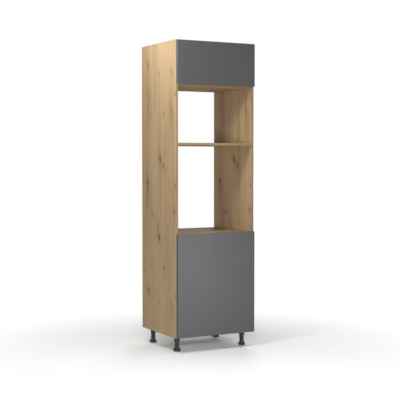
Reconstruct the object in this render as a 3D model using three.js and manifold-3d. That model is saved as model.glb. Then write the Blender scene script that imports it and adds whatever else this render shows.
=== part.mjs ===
// Tall oven housing unit: an oak-effect carcass with two open appliance niches, a top-hung flap,
// a side-hung door and four adjustable legs. Millimetres, +Z up, the fronts face -Y, and the
// origin is on the floor under the middle of the unit.
import * as THREE from 'three';
import { mergeVertices } from 'three/addons/utils/BufferGeometryUtils.js';
import Module from 'manifold-3d';

const wasm = await Module();
wasm.setup();

// ---------------------------------------------------------------- driving dimensions

// carcass
const WIDTH = 600;
const CARCASS_DEPTH = 538;
const BOARD = 16;
const LEG_HEIGHT = 100;
const LOWER_CUPBOARD_HEIGHT = 669;
const OVEN_NICHE_HEIGHT = 595;
const UPPER_NICHE_HEIGHT = 382;
const UPPER_CUPBOARD_HEIGHT = 270;

// back panels, held in grooves of the sides
const BACK_THICKNESS = 3;
const BACK_INSET = 16;
const GROOVE_DEPTH = 6;
const GROOVE_CLEARANCE = 0.2;

// fronts
const FRONT_THICKNESS = 19;
const FRONT_GAP = 3;
const SIDE_REVEAL = 3;
const FLAP_TOP_REVEAL = 4;
const NICHE_TOP_REVEAL = 7;
const DOOR_BOTTOM_REVEAL = 5;
const DOOR_ABOVE_SHELF = 2;
const FRONT_CHAMFER = 0.8;

// adjustable shelf, its pins and their rows of holes
const SHELF_HEIGHT = 330;
const SHELF_SIDE_PLAY = 1;
const SHELF_FRONT_SETBACK = 20;
const SHELF_BACK_PLAY = 2;
const PIN_DIAMETER = 5;
const PIN_HOLE_DEPTH = 10;
const PIN_PLAY = 0.2;
const PIN_LEDGE_LENGTH = 8;
const PIN_LEDGE_WIDTH = 8;
const PIN_LEDGE_HEIGHT = 3;
const PIN_ROW_INSET = 57;
const HOLE_PITCH = 32;
const HOLES_EACH_WAY = 2;

// concealed hinges
const HINGE_INSET = 100;
const CUP_DIAMETER = 35;
const CUP_DEPTH = 13.2;
const CUP_PLAY = 0.2;
const CUP_EDGE_DISTANCE = 4;
const CUP_WALL = 1.3;
const CUP_FLOOR = 0.5;
const CUP_SLOT_WIDTH = 10.4;
const CUP_WELL_DIAMETER = 30;
const CUP_FLANGE_THICKNESS = 1;
const CUP_FLANGE_RIM = 1;
const CUP_EAR_SPAN = 52;
const CUP_EAR_WIDTH = 15;
const HINGE_PIN_DIAMETER = 1.8;
const HINGE_PIN_LENGTH = 14;
const HINGE_PIN_FROM_EDGE = 7.6;
const HINGE_PIN_DEPTH = 10.6;
const ARM_STRAP = 1.6;
const ARM_WIDTH = 8;
const ARM_EYE_WALL = 0.85;
const ARM_EYE_PLAY = 0.15;
const ARM_CRANK = 8.2;
const ARM_BEND_BACK = 20;
const ARM_THROAT_DEPTH = 4.6;
const ARM_LENGTH = 59;
const ARM_CHANNEL_WIDTH = 17;
const ARM_CHANNEL_FRONT = 24;
const ARM_CHANNEL_HEIGHT = 3.5;
const PLATE_THICKNESS = 2;
const PLATE_SADDLE_HEIGHT = 3.8;
const PLATE_SADDLE_WIDTH = 12.6;
const PLATE_WING_SPAN = 48;
const PLATE_WING_WIDTH = 14;
const PLATE_SCREW_LINE = 37;
const SEAT_GAP = 0.2;

// push-to-open latches
const LATCH_LENGTH = 60;
const LATCH_WIDTH = 14;
const LATCH_HEIGHT = 13;
const LATCH_SETBACK = 2;
const LATCH_TRAVEL = 3;
const PLUNGER_DIAMETER = 8;
const PLUNGER_LENGTH = 40;
const PLUNGER_PLAY = 0.3;
const DOOR_LATCH_FROM_SIDE = 60;

// adjustable legs
const LEG_SIDE_INSET = 46;
const LEG_FRONT_INSET = 81;
const LEG_BACK_INSET = 81;
const SOCKET_PLATE = 58;
const SOCKET_PLATE_THICKNESS = 4;
const SOCKET_DIAMETER = 38;
const SOCKET_LENGTH = 31;
const COLUMN_DIAMETER = 31;
const COLUMN_IN_SOCKET = 24;
const COLUMN_PLAY = 0.3;
const NECK_DIAMETER = 27;
const NECK_LENGTH = 0.8;
const FOOT_DIAMETER = 48;
const FOOT_THICKNESS = 20;
const FOOT_CHAMFER = 2;
const THREAD_DIAMETER = 12;
const THREAD_LENGTH = 40;
const THREAD_PLAY = 0.3;
const FOOT_GAP = 0.3;

// brackets that hold the unit to the wall
const BRACKET_LEG = 40;
const BRACKET_WIDTH = 30;
const BRACKET_THICKNESS = 2;
const BRACKET_HOLE = 6;
const BRACKET_SIDE_INSET = 60;

const ROUND_SEGMENTS = 32;
const SMALL_SEGMENTS = 12;
const CUT_PAST = 1;

// ---------------------------------------------------------------- places worked out from them

const HALF_WIDTH = WIDTH / 2;
const OVERALL_DEPTH = CARCASS_DEPTH + FRONT_GAP + FRONT_THICKNESS;
const FRONT_FACE = -OVERALL_DEPTH / 2;
const FRONT_BACK = FRONT_FACE + FRONT_THICKNESS;
const CARCASS_FRONT = FRONT_BACK + FRONT_GAP;
const CARCASS_BACK = OVERALL_DEPTH / 2;
const INNER = HALF_WIDTH - BOARD;
const FRONT_EDGE = HALF_WIDTH - SIDE_REVEAL;
const BACK_PANEL_REAR = CARCASS_BACK - BACK_INSET;
const BACK_PANEL_FRONT = BACK_PANEL_REAR - BACK_THICKNESS;
const PANEL_BACK = BACK_PANEL_FRONT - GROOVE_CLEARANCE;

const BOTTOM_UNDER = LEG_HEIGHT;
const BOTTOM_TOP = BOTTOM_UNDER + BOARD;
const OVEN_SHELF_UNDER = BOTTOM_TOP + LOWER_CUPBOARD_HEIGHT;
const OVEN_SHELF_TOP = OVEN_SHELF_UNDER + BOARD;
const MIDDLE_UNDER = OVEN_SHELF_TOP + OVEN_NICHE_HEIGHT;
const MIDDLE_TOP = MIDDLE_UNDER + BOARD;
const NICHE_TOP_UNDER = MIDDLE_TOP + UPPER_NICHE_HEIGHT;
const NICHE_TOP_TOP = NICHE_TOP_UNDER + BOARD;
const TOP_UNDER = NICHE_TOP_TOP + UPPER_CUPBOARD_HEIGHT;
const TOP_TOP = TOP_UNDER + BOARD;

const FLAP_TOP = TOP_TOP - FLAP_TOP_REVEAL;
const FLAP_BOTTOM = NICHE_TOP_UNDER + NICHE_TOP_REVEAL;
const DOOR_BOTTOM = BOTTOM_UNDER + DOOR_BOTTOM_REVEAL;
const DOOR_TOP = OVEN_SHELF_TOP + DOOR_ABOVE_SHELF;
const DOOR_HINGE_HEIGHTS = [DOOR_BOTTOM + HINGE_INSET, DOOR_TOP - HINGE_INSET];
const FLAP_HINGE_PLACES = [-FRONT_EDGE + HINGE_INSET, FRONT_EDGE - HINGE_INSET];

const SHELF_UNDER = BOTTOM_TOP + SHELF_HEIGHT;
const PIN_ROWS = [CARCASS_FRONT + PIN_ROW_INSET, BACK_PANEL_FRONT - PIN_ROW_INSET];
const CUP_CENTRE = CUP_EDGE_DISTANCE + CUP_DIAMETER / 2;
const SIDES = [['left', -1], ['right', 1]];

// ---------------------------------------------------------------- materials and solids

const FINISHES = {
  oak: { color: 0xb58c62, roughness: 0.62, metalness: 0 },
  graphite: { color: 0x4a4c50, roughness: 0.55, metalness: 0 },
  hardboard: { color: 0xa98a63, roughness: 0.7, metalness: 0 },
  blackPlastic: { color: 0x141414, roughness: 0.45, metalness: 0 },
  greyPlastic: { color: 0x8d9094, roughness: 0.5, metalness: 0 },
  whitePlastic: { color: 0xe6e6e2, roughness: 0.45, metalness: 0 },
  nickel: { color: 0xb9bbbd, roughness: 0.28, metalness: 1 },
  zinc: { color: 0x9fa3a6, roughness: 0.42, metalness: 1 },
};

const unit = new THREE.Group();

function toSolid(geometry) {
  const bare = geometry.index ? geometry.toNonIndexed() : geometry.clone();
  bare.deleteAttribute('normal');
  bare.deleteAttribute('uv');
  const merged = mergeVertices(bare, 1e-4);
  return new wasm.Manifold(new wasm.Mesh({
    numProp: 3,
    vertProperties: new Float32Array(merged.attributes.position.array),
    triVerts: new Uint32Array(merged.index.array),
  }));
}

function toGeometry(solid) {
  const mesh = solid.getMesh();
  const geometry = new THREE.BufferGeometry();
  const places = new Float32Array(mesh.vertProperties);
  geometry.setAttribute('position', new THREE.BufferAttribute(places, 3));
  geometry.setIndex(new THREE.BufferAttribute(new Uint32Array(mesh.triVerts), 1));
  return geometry;
}

// A box between two opposite corners.
function block([x0, x1], [y0, y1], [z0, z1]) {
  const geometry = new THREE.BoxGeometry(x1 - x0, y1 - y0, z1 - z0);
  geometry.translate((x0 + x1) / 2, (y0 + y1) / 2, (z0 + z1) / 2);
  return toSolid(geometry);
}

// A round bar along one axis, centred on two coordinates and running between two values of the third.
function bar(axis, diameter, [a, b], [from, to], segments = ROUND_SEGMENTS) {
  const geometry = new THREE.CylinderGeometry(diameter / 2, diameter / 2, to - from, segments);
  const middle = (from + to) / 2;
  if (axis === 'x') {
    geometry.rotateZ(Math.PI / 2);
    geometry.translate(middle, a, b);
  } else if (axis === 'y') {
    geometry.translate(a, middle, b);
  } else {
    geometry.rotateX(Math.PI / 2);
    geometry.translate(a, b, middle);
  }
  return toSolid(geometry);
}

// A solid turned about a vertical axis from a profile of [radius, height] pairs.
function turned(profile, segments = ROUND_SEGMENTS) {
  const points = profile.map(([radius, height]) => new THREE.Vector2(radius, height));
  const geometry = new THREE.LatheGeometry(points, segments);
  geometry.rotateX(Math.PI / 2);
  return toSolid(geometry);
}

function addPiece(parent, name, finish, solid) {
  const mesh = new THREE.Mesh(toGeometry(solid), new THREE.MeshStandardMaterial(FINISHES[finish]));
  mesh.name = name;
  parent.add(mesh);
  return mesh;
}

// ---------------------------------------------------------------- carcass

// The groove that holds one back panel, cut in the inner face of a side panel.
function backGroove(side, bottom, top) {
  const depth = GROOVE_DEPTH + GROOVE_CLEARANCE;
  const inner = side * (INNER - CUT_PAST);
  const outer = side * (INNER + depth);
  return block(
    [Math.min(inner, outer), Math.max(inner, outer)],
    [BACK_PANEL_FRONT - GROOVE_CLEARANCE, BACK_PANEL_REAR + GROOVE_CLEARANCE],
    [bottom, top],
  );
}

function pinHole(side, y, z) {
  const ends = [side * (INNER - CUT_PAST), side * (INNER + PIN_HOLE_DEPTH)].sort((p, q) => p - q);
  return bar('x', PIN_DIAMETER, [y, z], ends, SMALL_SEGMENTS);
}

function addSidePanels() {
  for (const [word, side] of SIDES) {
    const faces = [side * INNER, side * HALF_WIDTH].sort((p, q) => p - q);
    let panel = block(faces, [CARCASS_FRONT, CARCASS_BACK], [BOTTOM_UNDER, TOP_TOP]);
    panel = panel.subtract(backGroove(side, BOTTOM_UNDER - CUT_PAST, OVEN_SHELF_TOP + GROOVE_CLEARANCE));
    panel = panel.subtract(backGroove(side, NICHE_TOP_UNDER - GROOVE_CLEARANCE, TOP_TOP + CUT_PAST));
    for (const y of PIN_ROWS) {
      for (let step = -HOLES_EACH_WAY; step <= HOLES_EACH_WAY; step += 1) {
        panel = panel.subtract(pinHole(side, y, pinAxisHeight() + step * HOLE_PITCH));
      }
    }
    addPiece(unit, `side_panel_${word}`, 'oak', panel);
  }
}

function addFixedPanels() {
  const closed = [
    ['top_panel', TOP_UNDER],
    ['niche_top_panel', NICHE_TOP_UNDER],
    ['oven_shelf', OVEN_SHELF_UNDER],
    ['bottom_panel', BOTTOM_UNDER],
  ];
  for (const [name, under] of closed) {
    const panel = block([-INNER, INNER], [CARCASS_FRONT, PANEL_BACK], [under, under + BOARD]);
    addPiece(unit, name, 'oak', panel);
  }
  const middle = block([-INNER, INNER], [CARCASS_FRONT, CARCASS_BACK], [MIDDLE_UNDER, MIDDLE_TOP]);
  addPiece(unit, 'middle_shelf', 'oak', middle);
}

function addBackPanels() {
  const edge = INNER + GROOVE_DEPTH;
  const panels = [
    ['upper_back_panel', NICHE_TOP_UNDER, TOP_TOP],
    ['lower_back_panel', BOTTOM_UNDER, OVEN_SHELF_TOP],
  ];
  for (const [name, bottom, top] of panels) {
    const panel = block([-edge, edge], [BACK_PANEL_FRONT, BACK_PANEL_REAR], [bottom, top]);
    addPiece(unit, name, 'hardboard', panel);
  }
}

// ---------------------------------------------------------------- adjustable shelf

function pinAxisHeight() {
  return SHELF_UNDER - PIN_LEDGE_HEIGHT / 2;
}

function addAdjustableShelf() {
  const edge = INNER - SHELF_SIDE_PLAY;
  const ends = [CARCASS_FRONT + SHELF_FRONT_SETBACK, BACK_PANEL_FRONT - SHELF_BACK_PLAY];
  const shelf = block([-edge, edge], ends, [SHELF_UNDER, SHELF_UNDER + BOARD]);
  addPiece(unit, 'adjustable_shelf', 'oak', shelf);
}

// A pin is a round peg in its hole with a flat ledge under the shelf.
function addShelfPins() {
  const ranks = [['front', PIN_ROWS[0]], ['back', PIN_ROWS[1]]];
  const height = pinAxisHeight();
  for (const [word, side] of SIDES) {
    for (const [rank, y] of ranks) {
      const pegEnds = [INNER - PIN_LEDGE_LENGTH / 2, INNER + PIN_HOLE_DEPTH - PIN_PLAY]
        .map((x) => side * x)
        .sort((p, q) => p - q);
      const thickness = PIN_DIAMETER - 2 * PIN_PLAY;
      const peg = bar('x', thickness, [y, height], pegEnds, SMALL_SEGMENTS);
      const ledge = block(
        [side * (INNER - PIN_PLAY), side * (INNER - PIN_LEDGE_LENGTH)].sort((p, q) => p - q),
        [y - PIN_LEDGE_WIDTH / 2, y + PIN_LEDGE_WIDTH / 2],
        [SHELF_UNDER - PIN_LEDGE_HEIGHT, SHELF_UNDER],
      );
      const below = block(
        [pegEnds[0] - CUT_PAST, pegEnds[1] + CUT_PAST],
        [y - PIN_DIAMETER, y + PIN_DIAMETER],
        [SHELF_UNDER, SHELF_UNDER + PIN_DIAMETER],
      );
      addPiece(unit, `shelf_pin_${rank}_${word}`, 'nickel', peg.subtract(below).add(ledge));
    }
  }
}

// ---------------------------------------------------------------- fronts

// A board with all its long edges chamfered, between two opposite corners of its face.
function frontBoard([x0, x1], [z0, z1]) {
  const outline = new THREE.Shape([
    new THREE.Vector2(x0 + FRONT_CHAMFER, z0 + FRONT_CHAMFER),
    new THREE.Vector2(x1 - FRONT_CHAMFER, z0 + FRONT_CHAMFER),
    new THREE.Vector2(x1 - FRONT_CHAMFER, z1 - FRONT_CHAMFER),
    new THREE.Vector2(x0 + FRONT_CHAMFER, z1 - FRONT_CHAMFER),
  ]);
  const geometry = new THREE.ExtrudeGeometry(outline, {
    depth: FRONT_THICKNESS - 2 * FRONT_CHAMFER,
    bevelEnabled: true,
    bevelThickness: FRONT_CHAMFER,
    bevelSize: FRONT_CHAMFER,
    bevelSegments: 1,
  });
  geometry.rotateX(Math.PI / 2);
  geometry.translate(0, FRONT_BACK - FRONT_CHAMFER, 0);
  return toSolid(geometry);
}

function cupBore(x, z) {
  const depths = [FRONT_BACK - CUP_DEPTH - CUP_PLAY, FRONT_BACK + CUT_PAST];
  return bar('y', CUP_DIAMETER + 2 * CUP_PLAY, [x, z], depths);
}

function addDoor() {
  let door = frontBoard([-FRONT_EDGE, FRONT_EDGE], [DOOR_BOTTOM, DOOR_TOP]);
  for (const z of DOOR_HINGE_HEIGHTS) {
    door = door.subtract(cupBore(FRONT_EDGE - CUP_CENTRE, z));
  }
  addPiece(unit, 'door', 'graphite', door);
}

function addFlap() {
  let flap = frontBoard([-FRONT_EDGE, FRONT_EDGE], [FLAP_BOTTOM, FLAP_TOP]);
  for (const x of FLAP_HINGE_PLACES) {
    flap = flap.subtract(cupBore(x, FLAP_TOP - CUP_CENTRE));
  }
  addPiece(unit, 'flap', 'graphite', flap);
}

// ---------------------------------------------------------------- concealed hinges

// Hinge frame: x runs from the front's hinged edge across its back, y runs into the front from its
// back face, and z runs along the hinge axis from the middle of the cup.

function hingeCup() {
  const radius = CUP_DIAMETER / 2;
  const slot = radius - CUP_WALL;
  const centre = [CUP_CENTRE, 0];
  const body = bar('y', CUP_DIAMETER, centre, [-CUP_FLANGE_THICKNESS, CUP_DEPTH]);
  const flange = [-CUP_FLANGE_THICKNESS, -SEAT_GAP / 2];
  const rim = bar('y', CUP_DIAMETER + 2 * CUP_FLANGE_RIM, centre, flange);
  const ears = block(
    [CUP_CENTRE - CUP_EAR_WIDTH / 2, CUP_CENTRE + CUP_EAR_WIDTH / 2],
    flange,
    [-CUP_EAR_SPAN / 2, CUP_EAR_SPAN / 2],
  );
  const hollow = [-CUP_FLANGE_THICKNESS - CUT_PAST, CUP_DEPTH - CUP_FLOOR];
  const well = bar('y', CUP_WELL_DIAMETER, centre, hollow);
  const armSlot = block(
    [CUP_CENTRE - slot, CUP_CENTRE + slot],
    hollow,
    [-CUP_SLOT_WIDTH / 2, CUP_SLOT_WIDTH / 2],
  );
  const pin = bar(
    'z',
    HINGE_PIN_DIAMETER,
    [HINGE_PIN_FROM_EDGE, HINGE_PIN_DEPTH],
    [-HINGE_PIN_LENGTH / 2, HINGE_PIN_LENGTH / 2],
    SMALL_SEGMENTS,
  );
  return body.add(rim).add(ears).subtract(well).subtract(armSlot).add(pin);
}

// A strip of even thickness along a chain of points, as an outline with mitred corners.
function stripOutline(points, thickness) {
  const sides = [[], []];
  points.forEach((point, index) => {
    const before = points[Math.max(index - 1, 0)];
    const after = points[Math.min(index + 1, points.length - 1)];
    const arriving = point.clone().sub(before).normalize();
    const leaving = after.clone().sub(point).normalize();
    const along = arriving.add(leaving).normalize();
    const straight = index > 0 ? point.clone().sub(before).normalize() : along;
    const spread = thickness / 2 / along.dot(straight);
    const across = new THREE.Vector2(-along.y, along.x).multiplyScalar(spread);
    sides[0].push(point.clone().add(across));
    sides[1].unshift(point.clone().sub(across));
  });
  return new THREE.Shape(sides.flat());
}

// The arm is a cranked strap from an eye round the cup's pin to a channel over the plate's saddle.
// panelFace is the place of the carcass panel's inner face in the hinge frame.
function hingeArm(panelFace) {
  const tail = panelFace + PLATE_THICKNESS + PLATE_SADDLE_HEIGHT + ARM_STRAP / 2;
  const throat = tail + ARM_CRANK;
  const reach = HINGE_PIN_DEPTH - ARM_THROAT_DEPTH;
  const strip = stripOutline([
    new THREE.Vector2(tail, -ARM_LENGTH),
    new THREE.Vector2(tail, -ARM_BEND_BACK),
    new THREE.Vector2(throat, -ARM_BEND_BACK + ARM_CRANK),
    new THREE.Vector2(throat, ARM_THROAT_DEPTH),
    new THREE.Vector2(throat - reach, HINGE_PIN_DEPTH),
    new THREE.Vector2(HINGE_PIN_FROM_EDGE, HINGE_PIN_DEPTH),
  ], ARM_STRAP);
  const strapGeometry = new THREE.ExtrudeGeometry(strip, { depth: ARM_WIDTH, bevelEnabled: false });
  strapGeometry.translate(0, 0, -ARM_WIDTH / 2);
  const widths = [-ARM_WIDTH / 2, ARM_WIDTH / 2];
  const pinPlace = [HINGE_PIN_FROM_EDGE, HINGE_PIN_DEPTH];
  const bore = HINGE_PIN_DIAMETER + 2 * ARM_EYE_PLAY;
  const eye = bar('z', bore + 2 * ARM_EYE_WALL, pinPlace, widths, SMALL_SEGMENTS * 2);
  const eyeBore = bar('z', bore, pinPlace, [-ARM_WIDTH, ARM_WIDTH], SMALL_SEGMENTS);
  const half = ARM_CHANNEL_WIDTH / 2;
  const channelRun = [-ARM_LENGTH, -ARM_CHANNEL_FRONT];
  const channelTop = block([tail - ARM_STRAP / 2, tail + ARM_STRAP / 2], channelRun, [-half, half]);
  const channelDepth = [tail - ARM_STRAP / 2 - ARM_CHANNEL_HEIGHT, tail];
  const upperWall = block(channelDepth, channelRun, [half - ARM_STRAP, half]);
  const lowerWall = block(channelDepth, channelRun, [-half, -half + ARM_STRAP]);
  const strap = toSolid(strapGeometry).add(eye).subtract(eyeBore);
  return strap.add(channelTop).add(upperWall).add(lowerWall);
}

// The plate has two wings on the screw line and a saddle under the arm.
function hingePlate(panelFace) {
  const seat = panelFace + SEAT_GAP;
  const base = panelFace + PLATE_THICKNESS;
  const screwLine = -FRONT_GAP - PLATE_SCREW_LINE;
  const wings = block(
    [seat, base],
    [screwLine - PLATE_WING_WIDTH / 2, screwLine + PLATE_WING_WIDTH / 2],
    [-PLATE_WING_SPAN / 2, PLATE_WING_SPAN / 2],
  );
  const saddle = block(
    [seat, base + PLATE_SADDLE_HEIGHT - SEAT_GAP],
    [-ARM_LENGTH, -ARM_CHANNEL_FRONT],
    [-PLATE_SADDLE_WIDTH / 2, PLATE_SADDLE_WIDTH / 2],
  );
  return wings.add(saddle);
}

function addHinge(frame, label, reveal) {
  const panelFace = BOARD - reveal;
  addPiece(frame, `${label}_hinge_cup`, 'nickel', hingeCup());
  addPiece(frame, `${label}_hinge_arm`, 'nickel', hingeArm(panelFace));
  addPiece(frame, `${label}_hinge_plate`, 'zinc', hingePlate(panelFace));
}

// A group whose x, y and z axes point along the given directions of the unit.
function turnedGroup(xAxis, yAxis, zAxis, place) {
  const group = new THREE.Group();
  const axes = [xAxis, yAxis, zAxis].map((axis) => new THREE.Vector3(...axis));
  group.quaternion.setFromRotationMatrix(new THREE.Matrix4().makeBasis(...axes));
  group.position.set(...place);
  unit.add(group);
  return group;
}

function addHinges() {
  const doorLabels = ['door_lower', 'door_upper'];
  DOOR_HINGE_HEIGHTS.forEach((z, index) => {
    const frame = turnedGroup([-1, 0, 0], [0, -1, 0], [0, 0, 1], [FRONT_EDGE, FRONT_BACK, z]);
    addHinge(frame, doorLabels[index], SIDE_REVEAL);
  });
  FLAP_HINGE_PLACES.forEach((x, index) => {
    const frame = turnedGroup([0, 0, -1], [0, -1, 0], [-1, 0, 0], [x, FRONT_BACK, FLAP_TOP]);
    addHinge(frame, `flap_${SIDES[index][0]}`, FLAP_TOP_REVEAL);
  });
}

// ---------------------------------------------------------------- push-to-open latches

// The housing lies along the depth of the unit; its plunger stops just short of the closed front.
function addLatch(label, x, bottom) {
  const front = CARCASS_FRONT + LATCH_SETBACK;
  const height = bottom + LATCH_HEIGHT / 2;
  const tip = FRONT_BACK + SEAT_GAP;
  const tail = tip + PLUNGER_LENGTH;
  const boreEnd = tail + LATCH_TRAVEL + PLUNGER_PLAY;
  const shell = block(
    [x - LATCH_WIDTH / 2, x + LATCH_WIDTH / 2],
    [front, front + LATCH_LENGTH],
    [bottom, bottom + LATCH_HEIGHT],
  );
  const boreWidth = PLUNGER_DIAMETER + 2 * PLUNGER_PLAY;
  const bore = bar('y', boreWidth, [x, height], [front - CUT_PAST, boreEnd]);
  const plunger = bar('y', PLUNGER_DIAMETER, [x, height], [tip, tail]);
  addPiece(unit, `${label}_latch_housing`, 'greyPlastic', shell.subtract(bore));
  addPiece(unit, `${label}_latch_plunger`, 'whitePlastic', plunger);
}

function addLatches() {
  addLatch('door', -INNER + DOOR_LATCH_FROM_SIDE, OVEN_SHELF_UNDER - LATCH_HEIGHT);
  addLatch('flap', 0, NICHE_TOP_TOP);
}

// ---------------------------------------------------------------- adjustable legs

function legSocket() {
  const mouth = LEG_HEIGHT - SOCKET_LENGTH;
  const half = SOCKET_PLATE / 2;
  const plateUnder = LEG_HEIGHT - SOCKET_PLATE_THICKNESS;
  const plate = block([-half, half], [-half, half], [plateUnder, LEG_HEIGHT]);
  const tube = bar('z', SOCKET_DIAMETER, [0, 0], [mouth, plateUnder + SOCKET_PLATE_THICKNESS / 2]);
  const bore = bar(
    'z',
    COLUMN_DIAMETER + 2 * COLUMN_PLAY,
    [0, 0],
    [mouth - CUT_PAST, mouth + COLUMN_IN_SOCKET + COLUMN_PLAY],
  );
  return plate.add(tube).subtract(bore);
}

function columnBottom() {
  return FOOT_THICKNESS + NECK_LENGTH + FOOT_GAP;
}

function legColumn() {
  const bottom = columnBottom();
  const top = LEG_HEIGHT - SOCKET_LENGTH + COLUMN_IN_SOCKET;
  const column = bar('z', COLUMN_DIAMETER, [0, 0], [bottom, top]);
  const threadTop = bottom + THREAD_LENGTH + THREAD_PLAY;
  const boreWidth = THREAD_DIAMETER + 2 * THREAD_PLAY;
  return column.subtract(bar('z', boreWidth, [0, 0], [bottom - CUT_PAST, threadTop]));
}

function legFoot() {
  const neckTop = columnBottom() - FOOT_GAP;
  const foot = FOOT_DIAMETER / 2;
  const neck = NECK_DIAMETER / 2;
  const thread = THREAD_DIAMETER / 2;
  return turned([
    [0, 0],
    [foot, 0],
    [foot, FOOT_THICKNESS - FOOT_CHAMFER],
    [foot - FOOT_CHAMFER, FOOT_THICKNESS],
    [neck, FOOT_THICKNESS],
    [neck, neckTop],
    [thread, neckTop],
    [thread, columnBottom() + THREAD_LENGTH],
    [0, columnBottom() + THREAD_LENGTH],
  ]);
}

function addLegs() {
  const ranks = [
    ['front', CARCASS_FRONT + LEG_FRONT_INSET],
    ['back', CARCASS_BACK - LEG_BACK_INSET],
  ];
  for (const [rank, y] of ranks) {
    for (const [word, side] of SIDES) {
      const pieces = [
        ['leg_socket', legSocket()],
        ['leg_column', legColumn()],
        ['leg_foot', legFoot()],
      ];
      for (const [piece, solid] of pieces) {
        const mesh = addPiece(unit, `${piece}_${rank}_${word}`, 'blackPlastic', solid);
        mesh.position.set(side * (HALF_WIDTH - LEG_SIDE_INSET), y, 0);
      }
    }
  }
}

// ---------------------------------------------------------------- wall brackets

// Each bracket is an angle under the top panel, against the upper back panel.
function addWallBrackets() {
  const back = BACK_PANEL_FRONT - SEAT_GAP;
  const bend = TOP_UNDER - BRACKET_THICKNESS;
  const end = TOP_UNDER - BRACKET_LEG;
  const middle = BRACKET_LEG / 2;
  for (const [word, side] of SIDES) {
    const x = side * (INNER - BRACKET_SIDE_INSET);
    const width = [x - BRACKET_WIDTH / 2, x + BRACKET_WIDTH / 2];
    const flat = block(width, [back - BRACKET_LEG, back], [bend, TOP_UNDER]);
    const upright = block(width, [back - BRACKET_THICKNESS, back], [end, TOP_UNDER]);
    const upHole = bar(
      'z',
      BRACKET_HOLE,
      [x, back - middle],
      [bend - CUT_PAST, TOP_UNDER + CUT_PAST],
      SMALL_SEGMENTS,
    );
    const backHole = bar(
      'y',
      BRACKET_HOLE,
      [x, TOP_UNDER - middle],
      [back - BRACKET_THICKNESS - CUT_PAST, back + CUT_PAST],
      SMALL_SEGMENTS,
    );
    const angle = flat.add(upright).subtract(upHole).subtract(backHole);
    addPiece(unit, `wall_bracket_${word}`, 'zinc', angle);
  }
}

addSidePanels();
addFixedPanels();
addBackPanels();
addAdjustableShelf();
addShelfPins();
addDoor();
addFlap();
addHinges();
addLatches();
addLegs();
addWallBrackets();

export default unit;
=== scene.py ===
"""Tall oven housing unit: its finishes, fittings and studio, built round the packed frame.

Metres, in the frame's own axes: X to the right, Y to the back, Z up, origin on the floor. Only
the knots, the latch collar and the rows of the leg parts are written in millimetres.
Every new piece is a surface worked out with numpy: rings of points carried along an axis.
"""
import math

import bpy
import numpy as np
from bpy.props import FloatProperty, FloatVectorProperty, IntProperty, PointerProperty
from mathutils import Matrix, Vector


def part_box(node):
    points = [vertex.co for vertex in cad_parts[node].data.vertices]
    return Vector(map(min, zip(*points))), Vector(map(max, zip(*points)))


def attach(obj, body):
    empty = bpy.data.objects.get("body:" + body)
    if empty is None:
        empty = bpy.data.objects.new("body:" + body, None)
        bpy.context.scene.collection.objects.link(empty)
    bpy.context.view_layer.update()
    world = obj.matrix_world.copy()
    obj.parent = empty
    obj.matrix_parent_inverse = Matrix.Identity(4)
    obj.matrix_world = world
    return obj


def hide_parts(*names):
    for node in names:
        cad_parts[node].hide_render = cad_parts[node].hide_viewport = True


bl_info = {
    "name": "Tall oven housing unit",
    "version": (1, 0, 0),
    "blender": (4, 5, 0),
    "location": "View3D > Sidebar > Oven Unit",
    "description": "Finishes, fittings and studio of a tall kitchen unit with two appliance niches",
    "category": "Object",
}

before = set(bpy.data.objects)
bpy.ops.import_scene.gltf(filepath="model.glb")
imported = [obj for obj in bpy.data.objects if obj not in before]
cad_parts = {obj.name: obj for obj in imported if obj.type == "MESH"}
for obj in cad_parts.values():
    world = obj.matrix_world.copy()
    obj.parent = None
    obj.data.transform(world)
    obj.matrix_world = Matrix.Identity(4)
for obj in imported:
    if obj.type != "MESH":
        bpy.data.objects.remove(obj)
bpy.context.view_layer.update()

MM = 0.001
# Edges of a piece that turn by more than this stay sharp.
SHARP_ANGLE = math.radians(32)
OAK_UPRIGHTS = ("side_panel_left", "side_panel_right")
FIXED_LEVELS = ("top_panel", "niche_top_panel", "middle_shelf", "oven_shelf", "bottom_panel")
OAK_LEVELS = FIXED_LEVELS + ("adjustable_shelf",)
CORNERS = ("front_left", "front_right", "back_left", "back_right")
HINGES = ("door_lower", "door_upper", "flap_left", "flap_right")
# At a front's hinges: the direction away from the panel that carries them, and along the pin.
HINGE_AXES = {"door": ((-1, 0, 0), (0, 0, 1)), "flap": ((0, 0, -1), (-1, 0, 0))}
FORWARD = (0, -1, 0)

# Screws: how far the line of the hinge plates' screws is behind the carcass's front edge,
# distances from that line and from the middle of each fitting, and what the screws hold.
PLATE_LINE = 37 * MM
ARM_SCREW_LINES = (-5.5 * MM, 9.5 * MM)
CUP_EAR_REACH, PLATE_WING_REACH = 21.5 * MM, 16 * MM
PLATE_WING_THICKNESS, ARM_THICKNESS = 1.8 * MM, 1.8 * MM
SET_SCREW_RADIUS, SET_SCREW_HEIGHT = 2.6 * MM, 0.9 * MM
SOCKET_PLATE_THICKNESS, SOCKET_SCREW_REACH = 4 * MM, 22 * MM
BRACKET_THICKNESS = 2 * MM
LATCH_SCREW_INSET = 12 * MM
# Distances of the cover caps from a board's front and back edges, and the dish in each.
CAP_FRONT_INSET, CAP_BACK_INSET, CAP_DISH = 70 * MM, 110 * MM, 0.3 * MM
# Heights of the bumpers over the lower edge, and under the upper edge, of their front.
DOOR_BUMPER_LOW, DOOR_BUMPER_HIGH, FLAP_BUMPER_LOW = 25 * MM, 40 * MM, 30 * MM
# Outline of a latch's collar, as (radius, height) in millimetres, then the radius of a
# plunger's rounded nose and the chamfer at its other end.
LATCH_COLLAR = ((4.5, 0.0), (6.3, 0.0), (6.3, 0.9), (5.9, 1.3), (5.0, 1.3), (4.5, 0.9))
PLUNGER_NOSE, PLUNGER_CHAMFER = 1.4 * MM, 0.4 * MM

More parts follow.
